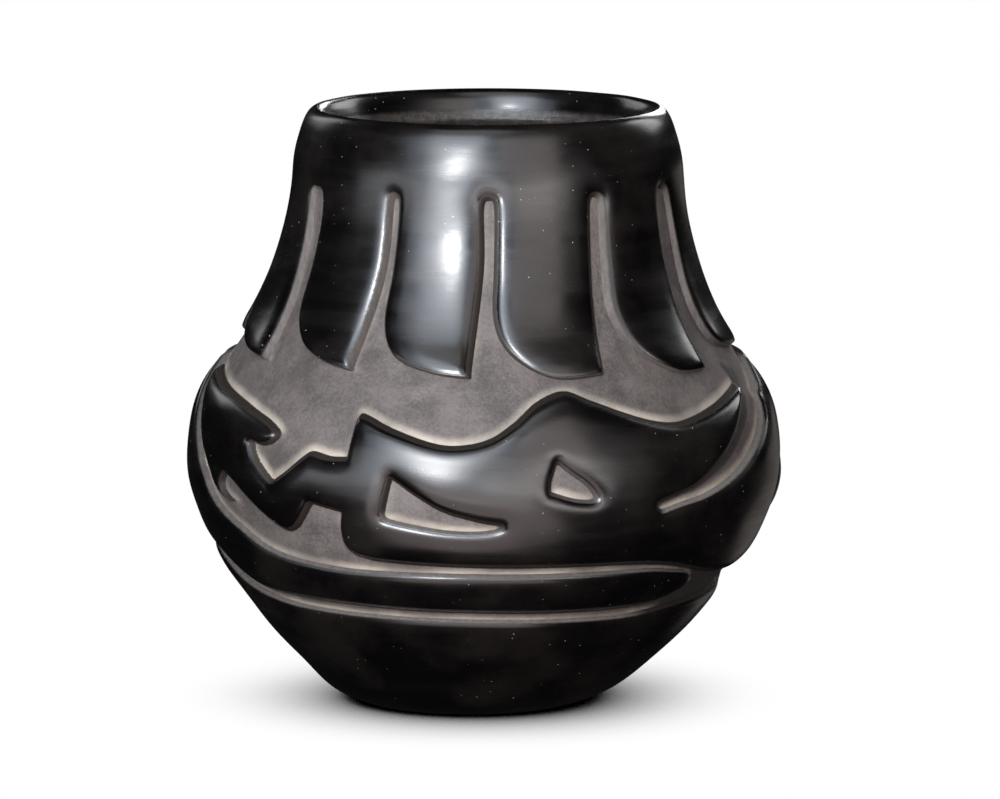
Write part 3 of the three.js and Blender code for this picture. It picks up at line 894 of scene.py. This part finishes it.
class Bench:
    """Adds and joins the nodes of one finish."""

    def __init__(self, owner: bpy.types.Material | bpy.types.World) -> None:
        """Works on the emptied node tree of a material or world."""
        owner.use_nodes = True
        self.tree = owner.node_tree
        self.tree.nodes.clear()

    def put(self, target: Socket, value: object) -> None:
        """Joins an output to an input, or sets the input's own value."""
        if isinstance(value, Socket):
            self.tree.links.new(value, target)
        else:
            target.default_value = value

    def node(self, kind: str, settings: dict | None = None, **inputs: object) -> bpy.types.Node:
        """Adds a node, with its properties as settings and its inputs by name, with _ for a space."""
        node = self.tree.nodes.new(kind)
        for name, value in (settings or {}).items():
            setattr(node, name, value)
        for name, value in inputs.items():
            self.put(node.inputs[name.replace("_", " ")], value)
        return node

    def attribute(self, name: str) -> Socket:
        """A value that the mesh carries."""
        return self.node("ShaderNodeAttribute", {"attribute_name": name}).outputs["Fac"]

    def place(self, scale: Triple = (1, 1, 1)) -> Socket:
        """The point's place on the jar, in metres, stretched by a scale."""
        origin = self.node("ShaderNodeTexCoord").outputs["Object"]
        mapped = self.node("ShaderNodeMapping", Vector=origin, Scale=scale)
        return mapped.outputs["Vector"]

    def math(self, operation: str, first: object, second: object = 0.0, clamp: bool = False) -> Socket:
        """One sum of two numbers."""
        node = self.node("ShaderNodeMath", {"operation": operation, "use_clamp": clamp})
        self.put(node.inputs[0], first)
        self.put(node.inputs[1], second)
        return node.outputs[0]

    def ramp(self, value: object, low: float, high: float, start: float = 0.0, end: float = 1.0) -> Socket:
        """Goes smoothly from start to end while a value goes from low to high."""
        node = self.node("ShaderNodeMapRange", {"interpolation_type": "SMOOTHSTEP"})
        for index, entry in enumerate((value, low, high, start, end)):
            self.put(node.inputs[index], entry)
        return node.outputs[0]

    def noise(self, place: Socket, scale: float, detail: float = 3.0, rough: float = 0.55) -> Socket:
        """Cloudy noise, with so many clouds a metre."""
        node = self.node("ShaderNodeTexNoise", Vector=place, Scale=scale, Detail=detail, Roughness=rough)
        return node.outputs["Fac"]

    def blend(self, share: object, first: object, second: object) -> Socket:
        """A colour between two."""
        node = self.node("ShaderNodeMix", {"data_type": "RGBA"})
        self.put(node.inputs["Factor"], share)
        self.put(node.inputs[6], first)
        self.put(node.inputs[7], second)
        return node.outputs[2]

    def bump(self, height: Socket, distance: float, strength: float, under: Socket | None = None) -> Socket:
        """Relief too fine for the mesh."""
        node = self.node("ShaderNodeBump", Height=height, Distance=distance, Strength=strength)
        if under is not None:
            self.put(node.inputs["Normal"], under)
        return node.outputs["Normal"]


@dataclass(frozen=True)
class PolishedSlip:
    """Black slip rubbed with a stone until it shines.

    Clouds, pores and strokes are counted a metre, and a pair says where an effect starts and is full.
    """

    colour: Colour = (0.0010, 0.0008, 0.0008, 1.0)
    worn: Colour = (0.0052, 0.0042, 0.0038, 1.0)
    dust: Colour = (0.24, 0.22, 0.20, 1.0)
    roughness: float = 0.20
    dull: float = 0.31
    dulled: Point = (0.3, 0.72)
    worn_clouds: float = 34.0
    worn_down: Point = (0.42, 0.68)
    pores: float = 430.0
    pore_size: Point = (0.055, 0.105)
    dusty_pores: Point = (0.62, 0.9)
    dusty_clouds: float = 22.0
    dusty: Point = (0.38, 0.62)
    sheen: Triple = (26.0, 26.0, 170.0)
    strokes: Triple = (40.0, 40.0, 420.0)
    stroke_depth: float = 0.0002
    stroke_strength: float = 0.10


@dataclass(frozen=True)
class CarvedGround:
    """Bare fired clay where the slip is cut away: matte, scraped, and paler beside the cuts.

    Counts and pairs are meant as in PolishedSlip, and distances from a cut are in millimetres.
    """

    dark: Colour = (0.030, 0.0247, 0.0228, 1.0)
    light: Colour = (0.069, 0.0572, 0.0528, 1.0)
    # Cream rim beside the figures: partly clay dust, partly painted light on the ground above a figure.
    rim: Colour = (0.285, 0.250, 0.203, 1.0)
    # Wall colours: the dark one is slip left on the wall together with painted shade on walls facing away
    # from the key lamp; the pale one is scraped clay together with painted light on walls facing it.
    coated_and_shaded_wall: Colour = (0.011, 0.0082, 0.0066, 1.0)
    bare_and_lit_wall: Colour = (0.082, 0.074, 0.068, 1.0)
    # Painted shade on the ground beside a cut whose bareness value is below 0.
    painted_shade_ground: Colour = (0.0085, 0.0070, 0.0060, 1.0)
    roughness: float = 0.72
    wall_starts: Point = (-1.2, -0.6)
    ground_starts: Point = (-0.14, 0.1)
    fray: float = 0.04
    grains: float = 900.0
    grain_share: float = 0.4
    mottles: float = 75.0
    mottled: Point = (0.36, 0.64)
    rim_width: Point = (0.1, 3.2)
    rim_cover: float = 0.92
    rim_patches: float = 38.0
    patchy: Point = (0.36, 0.62)
    thin_patch: float = 0.42
    # Where that painted shade starts and is full, by the cut's bareness value.
    painted_shade: Point = (0.0, -0.8)
    scrapes: Triple = (700.0, 700.0, 160.0)
    scraped: float = 0.22
    grit: float = 1100.0
    grit_depth: float = 0.0005
    grit_strength: float = 0.55


@dataclass(frozen=True)
class Lining:
    """The hollow of the jar, smoothed by hand and left gritty."""

    dark: Colour = (0.012, 0.010, 0.009, 1.0)
    light: Colour = (0.040, 0.032, 0.026, 1.0)
    roughness: float = 0.42
    mottles: float = 420.0
    mottled: Point = (0.35, 0.7)


@dataclass
class Blackware:
    """The finish of the whole jar: polished slip, carved ground and gritty lining, each where it belongs."""

    slip: PolishedSlip = PolishedSlip()
    ground: CarvedGround = CarvedGround()
    lining: Lining = Lining()
    middling_roughness: float = 0.28
    specular: float = 0.5
    coated_specular: float = 0.32

    def make(self) -> bpy.types.Material:
        """Builds the material, which reads the attributes that each course carries."""
        material = bpy.data.materials.new("blackware")
        bench = Bench(material)
        place = bench.place()
        cut = bench.attribute("cut")
        fray = self.ground.fray
        frayed = bench.ramp(bench.noise(place, self.ground.grains), *NOISE_SPAN, -fray, fray)
        is_wall = bench.ramp(bench.math("ADD", bench.attribute("wall"), frayed), *self.ground.wall_starts)
        is_ground = bench.ramp(cut, *self.ground.ground_starts)
        is_lining = bench.attribute("lining")

        wall_colour = bench.blend(is_wall, self.slip_colour(bench, place), self.wall_colour(bench))
        outer_colour = bench.blend(is_ground, wall_colour, self.ground_colour(bench, place, cut))
        mottled = bench.ramp(bench.noise(place, self.lining.mottles, 4.0), *self.lining.mottled)
        colour = bench.blend(
            is_lining, outer_colour, bench.blend(mottled, self.lining.dark, self.lining.light),
        )

        sheen = bench.noise(bench.place(self.slip.sheen), 1.0, 4.0)
        shine = bench.ramp(sheen, *self.slip.dulled, self.slip.roughness, self.slip.dull)
        matte = bench.math("MAXIMUM", is_wall, is_ground)
        dulled = bench.math("MULTIPLY", matte, self.ground.roughness - self.middling_roughness)
        gritty = bench.math("MULTIPLY", is_lining, self.lining.roughness - self.middling_roughness)
        coated = bench.math("MULTIPLY", is_wall, bench.math("SUBTRACT", 1.0, is_ground, clamp=True))
        shader = bench.node(
            "ShaderNodeBsdfPrincipled", Base_Color=colour, IOR=1.5,
            Roughness=bench.math("ADD", bench.math("ADD", shine, dulled), gritty),
            Normal=self.relief(bench, place, bench.math("MAXIMUM", matte, is_lining)),
            Specular_IOR_Level=bench.math(
                "SUBTRACT", self.specular, bench.math("MULTIPLY", coated, self.coated_specular),
            ),
        )
        bench.node("ShaderNodeOutputMaterial", Surface=shader.outputs["BSDF"])
        return material

    def slip_colour(self, bench: Bench, place: Socket) -> Socket:
        """Black slip with worn clouds and dust in its pores."""
        slip = self.slip
        clouds = bench.ramp(bench.noise(place, slip.worn_clouds, 5.0), *slip.worn_down)
        black = bench.blend(clouds, slip.colour, slip.worn)
        cells = bench.node("ShaderNodeTexVoronoi", Vector=place, Scale=slip.pores)
        near = bench.ramp(cells.outputs["Distance"], *slip.pore_size, 1.0, 0.0)
        tone = bench.node("ShaderNodeSeparateColor", Color=cells.outputs["Color"])
        few = bench.ramp(tone.outputs[0], *slip.dusty_pores)
        dusty = bench.ramp(bench.noise(place, slip.dusty_clouds, 2.0), *slip.dusty)
        specks = bench.math("MULTIPLY", bench.math("MULTIPLY", near, few), dusty)
        return bench.blend(specks, black, slip.dust)

    def wall_colour(self, bench: Bench) -> Socket:
        """The wall of a cut: coated with slip, or scraped clean in streaks, and drawn darker as painted
        shade where it faces away from the key lamp and lighter as painted light where it faces it.
        """
        ground = self.ground
        scrapes = bench.noise(bench.place(ground.scrapes), 1.0, 3.0)
        streaks = bench.ramp(scrapes, *NOISE_SPAN, 1.0 - ground.scraped, 1.0 + ground.scraped)
        # Partly real scraping, partly painted light and shade, by how the wall faces the key lamp.
        scraped = bench.math("MULTIPLY", bench.attribute("bareness_and_light"), streaks, clamp=True)
        return bench.blend(scraped, ground.coated_and_shaded_wall, ground.bare_and_lit_wall)

    def ground_colour(self, bench: Bench, place: Socket, cut: Socket) -> Socket:
        """Scraped clay, mottled, and paler beside a figure: partly cream clay dust, partly painted light on
        the ground above it. Painted shade darkens the ground beside cuts whose bareness value is below 0.
        """
        ground = self.ground
        mottles = bench.noise(place, ground.mottles, 6.0, 0.62)
        grains = bench.noise(place, ground.grains, 3.0, 0.6)
        grains = bench.math("MULTIPLY", grains, ground.grain_share)
        mottles = bench.math("MULTIPLY", mottles, 1.0 - ground.grain_share)
        mixed = bench.math("ADD", mottles, grains)
        clay = bench.blend(bench.ramp(mixed, *ground.mottled), ground.dark, ground.light)
        # Cream rim: partly clay dust in patches, partly painted light on ground that lies above a figure.
        band = bench.ramp(cut, *ground.rim_width, ground.rim_cover, 0.0)
        dusty_and_lit_rim = bench.math("MULTIPLY", band, bench.attribute("below"), clamp=True)
        patches = bench.noise(place, ground.rim_patches, 4.0)
        patchy = bench.ramp(patches, *ground.patchy, ground.thin_patch, 1.0)
        clay_with_dusty_and_lit_rim = bench.blend(bench.math("MULTIPLY", dusty_and_lit_rim, patchy), clay, ground.rim)
        # Painted shade: the ground goes dark where the nearest cut's bareness value is below 0.
        painted_shade_ground = bench.ramp(bench.attribute("bareness_and_light"), *ground.painted_shade)
        return bench.blend(painted_shade_ground, clay_with_dusty_and_lit_rim, ground.painted_shade_ground)

    def relief(self, bench: Bench, place: Socket, rough: Socket) -> Socket:
        """Grain of the scraped clay, the grit of the lining and the soft strokes of the burnishing stone."""
        strokes = bench.noise(bench.place(self.slip.strokes), 1.0, 3.0)
        polished = bench.bump(strokes, self.slip.stroke_depth, self.slip.stroke_strength)
        grit = bench.math("MULTIPLY", bench.noise(place, self.ground.grit, 4.0, 0.65), rough)
        return bench.bump(grit, self.ground.grit_depth, self.ground.grit_strength, polished)


@dataclass(frozen=True)
class Lamp:
    """A soft light that faces the jar.

    It stands so many degrees round the jar and above the horizon, and so many metres away. Its size is its
    width and height in metres, and mirrored says whether polished clay mirrors it.
    """

    name: str
    azimuth: float
    rise: float
    distance: float
    size: Point
    watts: float
    tint: Triple = (1.0, 1.0, 1.0)
    shape: str = "RECTANGLE"
    mirrored: bool = True

    def hang(self, centre: Vector) -> None:
        """Hangs the light so that it faces a point."""
        data = bpy.data.lights.new(self.name, "AREA")
        data.shape = self.shape
        data.size, data.size_y = self.size
        data.energy = self.watts
        data.color = self.tint
        lamp = added(self.name, data)
        turn = math.radians(self.azimuth)
        up = math.radians(self.rise)
        aim = Vector((math.sin(turn) * math.cos(up), -math.cos(turn) * math.cos(up), math.sin(up)))
        lamp.location = centre + aim * self.distance
        lamp.rotation_euler = aim.to_track_quat("Z", "Y").to_euler()
        lamp.visible_glossy = self.mirrored
        lamp.visible_camera = False


@dataclass
class Studio:
    """The pale floor, the soft lights and the camera at the photograph's angle."""

    target: Triple = (9.6, 0.0, 95.7)
    distance: float = 2600.0
    rise: float = 8.2
    pixels_per_mm: float = 3.13
    image_width: int = 1000
    sensor: float = 36.0
    clip: Point = (0.05, 50.0)
    lit_point: Triple = (4.0, 0.0, 100.0)
    room: Colour = (0.007, 0.007, 0.0075, 1.0)
    paper: Colour = (1.0, 1.0, 1.0, 1.0)
    floor_size: float = 6.0
    shadow_reach: float = 0.043
    shadow_fall: float = 2.8
    shadow_depth: float = 1.55
    shadow_samples: int = 24
    lamps: tuple[Lamp, ...] = (
        Lamp("key_core", -18.5, 21.5, 1.4, (0.22, 0.30), 13.0, shape="ELLIPSE"),
        Lamp("key_softbox", -19.5, 26.0, 1.6, (0.84, 1.42), 24.0, (0.81, 0.89, 1.0)),
        Lamp("key_glow", -19.0, 20.0, 1.6, (1.85, 1.45), 16.0, (0.75, 0.85, 1.0)),
        Lamp("low_key", -17.5, 5.5, 0.45, (0.095, 0.062), 0.75, shape="ELLIPSE"),
        Lamp("left_panel", -47.0, 3.0, 1.7, (1.9, 0.46), 7.0, (0.92, 0.95, 1.0)),
        Lamp("right_panel", 24.0, 2.0, 1.7, (1.6, 0.42), 7.5, (1.0, 0.97, 0.95)),
        Lamp("warm_reflector", 27.0, 21.0, 1.6, (0.76, 1.40), 8.4, (1.0, 0.89, 0.88)),
        Lamp("far_reflector", 48.0, 8.0, 1.6, (0.80, 0.80), 0.9, (1.0, 0.92, 0.90)),
        Lamp("table_glow", -8.0, -9.0, 1.5, (1.5, 0.44), 5.4, (1.0, 0.93, 0.94)),
        Lamp("low_table_glow", -5.0, -31.0, 1.5, (1.7, 1.0), 10.5, (1.0, 0.84, 0.83)),
        Lamp("overhead_softbox", -10.0, 64.0, 1.4, (0.9, 0.5), 2.6),
        Lamp("side_fill", 135.0, 12.0, 1.8, (0.9, 1.0), 5.0, (1.0, 0.9, 0.84), mirrored=False),
        Lamp("left_fill", -130.0, 14.0, 1.8, (0.9, 1.0), 2.5, (0.9, 0.94, 1.0), mirrored=False),
        Lamp("low_right_panel", 148.0, -14.0, 1.8, (0.8, 0.8), 0.5, (1.0, 0.90, 0.84)),
        Lamp("right_side_panel", 132.0, 27.0, 1.7, (0.6, 0.7), 5.0),
        Lamp("left_side_panel", -140.0, 27.0, 1.7, (0.6, 0.7), 2.2),
        Lamp("back_lamp", 167.0, 17.0, 1.7, (0.34, 0.36), 5.0),
        Lamp("back_fill", 188.0, 30.0, 1.8, (1.2, 0.9), 22.0, mirrored=False),
    )

    def camera(self) -> None:
        """Sets the camera where the photographer stood, with a long lens."""
        data = bpy.data.cameras.new("camera")
        data.sensor_width = self.sensor
        data.lens = self.pixels_per_mm * self.distance * self.sensor / self.image_width
        data.clip_start, data.clip_end = self.clip
        eye = added("camera", data)
        rise = math.radians(self.rise)
        target = Vector(self.target)
        place = target + Vector((0.0, -math.cos(rise), math.sin(rise))) * self.distance
        eye.location = place * MM
        eye.rotation_euler = (math.pi / 2 - rise, 0.0, 0.0)
        bpy.context.scene.camera = eye

    def backdrop(self) -> None:
        """White behind the jar for the camera, and a dark room round it for the reflections."""
        world = bpy.data.worlds.new("studio")
        bpy.context.scene.world = world
        bench = Bench(world)
        seen = bench.node("ShaderNodeLightPath").outputs["Is Camera Ray"]
        colour = bench.blend(seen, self.room, self.paper)
        sky = bench.node("ShaderNodeBackground", Color=colour, Strength=1.0)
        bench.node("ShaderNodeOutputWorld", Surface=sky.outputs["Background"])

    def floor(self) -> bpy.types.Object:
        """A white floor that only the camera sees, with the soft shadow of the jar on it."""
        bm = bmesh.new()
        bmesh.ops.create_grid(bm, x_segments=1, y_segments=1, size=self.floor_size)
        floor = added("floor", meshed("floor", bm))
        floor.visible_glossy = floor.visible_diffuse = floor.visible_shadow = False
        material = bpy.data.materials.new("white_paper")
        bench = Bench(material)
        near = bench.node(
            "ShaderNodeAmbientOcclusion", {"samples": self.shadow_samples}, Distance=self.shadow_reach,
        )
        hidden_sky = bench.math("SUBTRACT", 1.0, near.outputs["AO"])
        shadow = bench.math("MULTIPLY", bench.math("POWER", hidden_sky, self.shadow_fall), self.shadow_depth)
        open_sky = bench.math("MAXIMUM", bench.math("SUBTRACT", 1.0, shadow), 0.0)
        glow = bench.node("ShaderNodeEmission", Strength=open_sky)
        bench.node("ShaderNodeOutputMaterial", Surface=glow.outputs["Emission"])
        floor.data.materials.append(material)
        return floor

    def set_up(self) -> None:
        """Builds the studio: camera, lamps, backdrop and floor, with the Standard view transform."""
        self.camera()
        for lamp in self.lamps:
            lamp.hang(Vector(self.lit_point) * MM)
        self.backdrop()
        self.floor()
        view = bpy.context.scene.view_settings
        view.view_transform = "Standard"
        view.look = "None"


def main() -> None:
    """Loads the frame, builds each course of the jar and sets up the studio."""
    logging.basicConfig(level=logging.INFO, format="%(name)s: %(message)s")
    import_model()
    surface = JarSurface()
    surface.make()
    finish = Blackware().make()
    for name in surface.courses.names:
        piece = CourseMesh(name, surface).build()
        piece.data.materials.append(finish)
        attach(piece, BODY)
        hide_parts(name)
        LOG.info("%s: %d faces", piece.name, len(piece.data.polygons))
    Studio().set_up()


if __name__ == "__main__":
    main()
